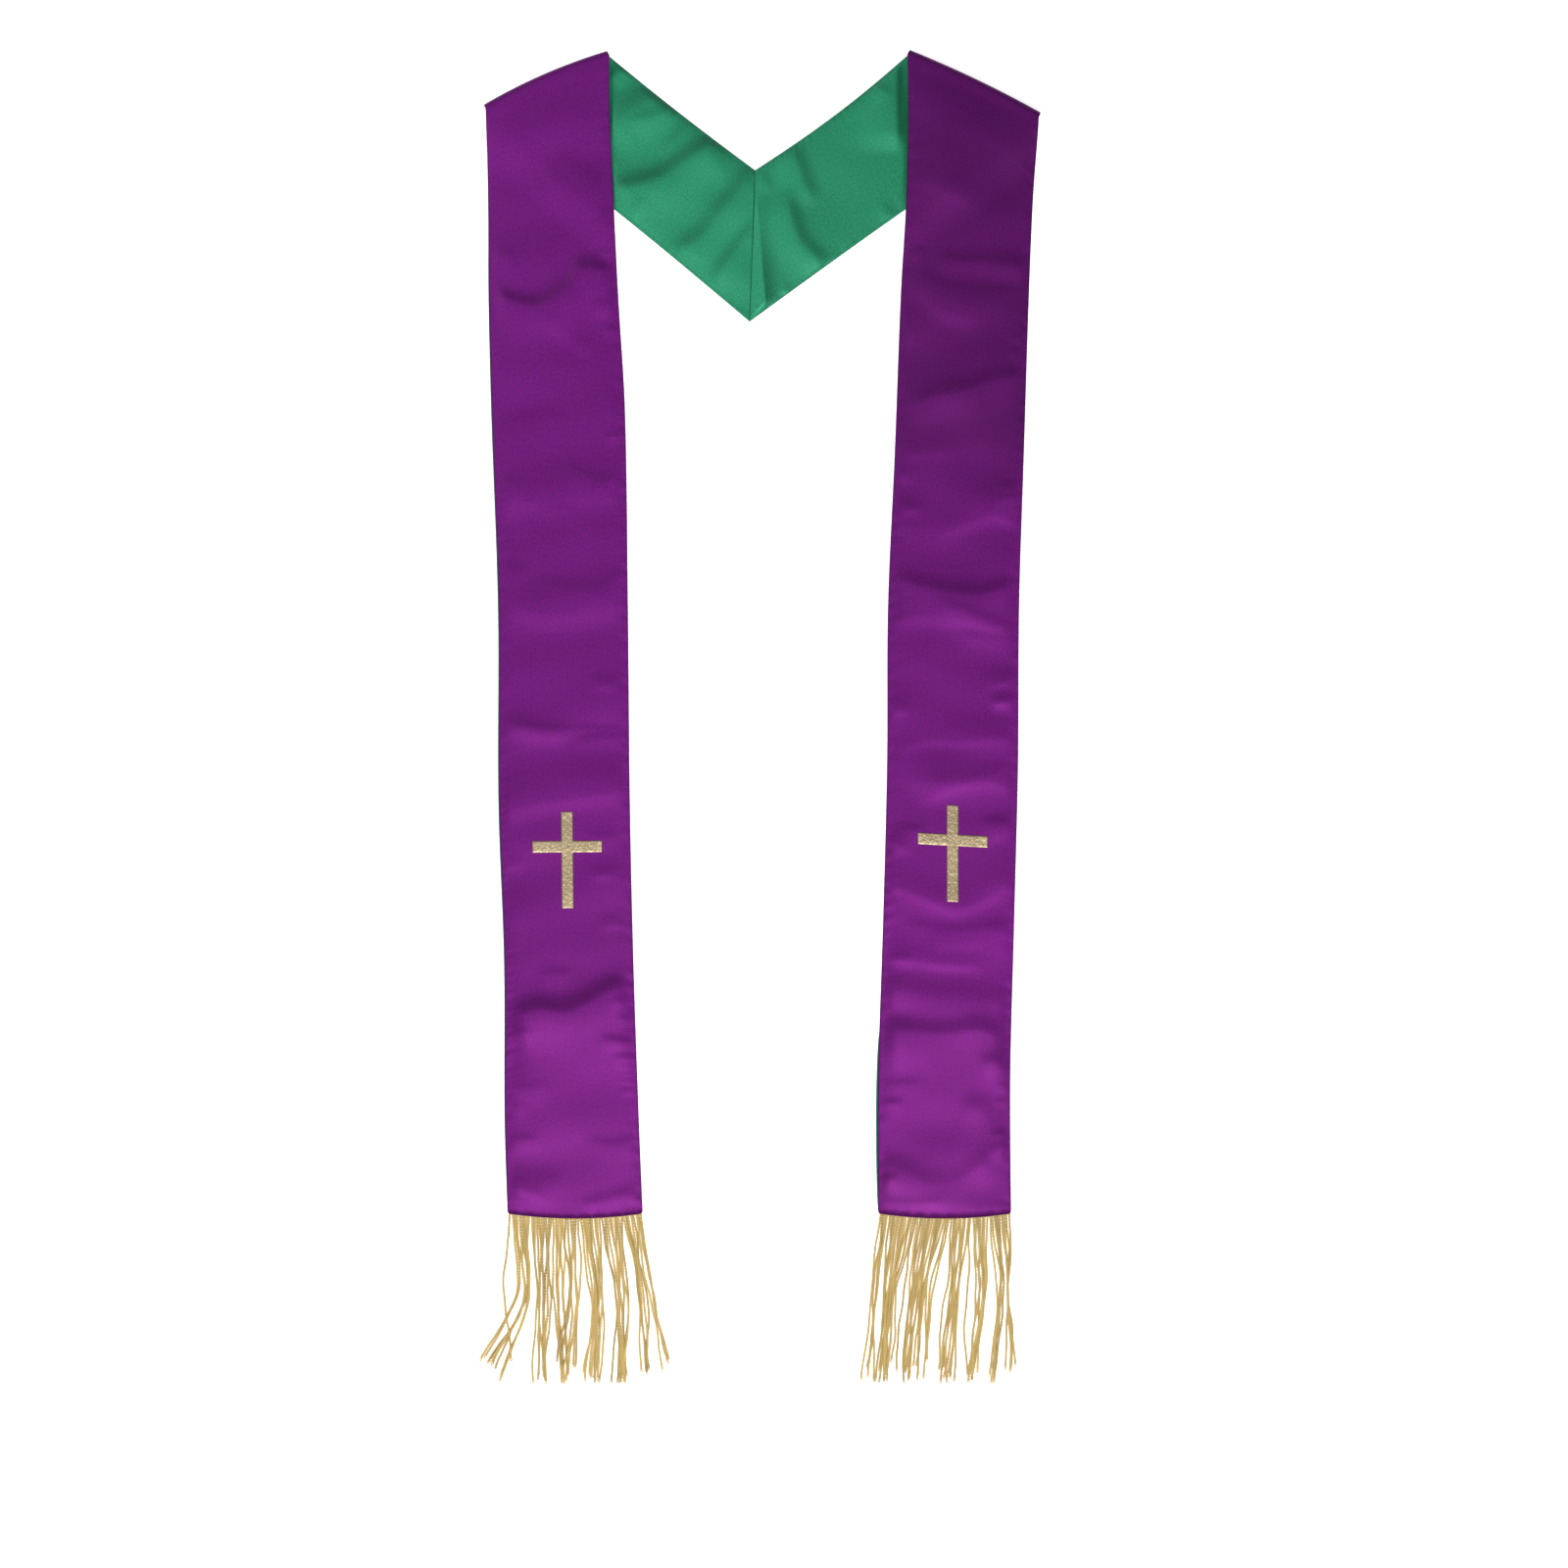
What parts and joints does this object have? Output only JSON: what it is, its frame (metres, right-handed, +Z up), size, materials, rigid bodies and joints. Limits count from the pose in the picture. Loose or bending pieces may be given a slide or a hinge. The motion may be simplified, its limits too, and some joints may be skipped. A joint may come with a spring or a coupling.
{
  "type": "clerical stole",
  "caption": "Reversible satin stole laid flat, its fronts folded over at the shoulders, with a mitred neck, and a foil cross and a cut fringe at each hem.",
  "frame": {"origin": "on the surface that the stole lies on, under the middle of its outline", "axes": "+X to the right and +Y towards the neck as the stole is seen from above, +Z up out of the surface"},
  "size_m": [0.4821, 1.1465, 0.0103],
  "materials": {
    "purple_satin": "purple polyester satin with a soft sheen",
    "green_satin": "green polyester satin with a soft sheen",
    "gold_fringe": "twisted golden yellow viscose cut fringe",
    "gold_foil": "heat pressed pale gold foil, finely crinkled"
  },
  "bodies": {
    "root": {"purple_left": "purple_satin", "purple_right": "purple_satin", "green_left": "green_satin", "green_right": "green_satin", "fringe_left": "gold_fringe", "fringe_right": "gold_fringe", "cross_left": "gold_foil", "cross_right": "gold_foil"}
  },
  "joints": []
}
